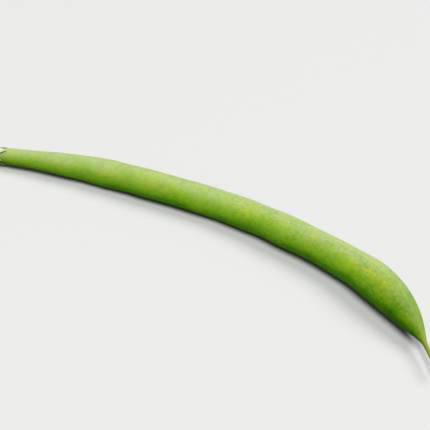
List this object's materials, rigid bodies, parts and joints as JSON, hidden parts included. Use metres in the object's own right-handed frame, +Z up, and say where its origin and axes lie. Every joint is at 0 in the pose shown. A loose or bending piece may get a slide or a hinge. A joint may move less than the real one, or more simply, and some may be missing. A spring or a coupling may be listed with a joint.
{
  "type": "green bean",
  "caption": "Fresh green bean lying on its side: a long round pod with a bend and a thin beak, a small dried calyx and a short stalk.",
  "frame": {"origin": "middle of the bean's box, on the surface that it lies on", "axes": "+X along the bean from the stalk to the beak, +Y towards the outer side of its bend, +Z up"},
  "size_m": [0.1532, 0.0312, 0.0095],
  "materials": {
    "pod_skin": "satin fresh green skin with a fine nap",
    "dried_calyx": "dull, dried, yellow-green to brown",
    "stalk_skin": "satin, pale green"
  },
  "bodies": {
    "root": {"pod": "pod_skin", "calyx": "dried_calyx", "stalk": "stalk_skin"}
  },
  "joints": []
}
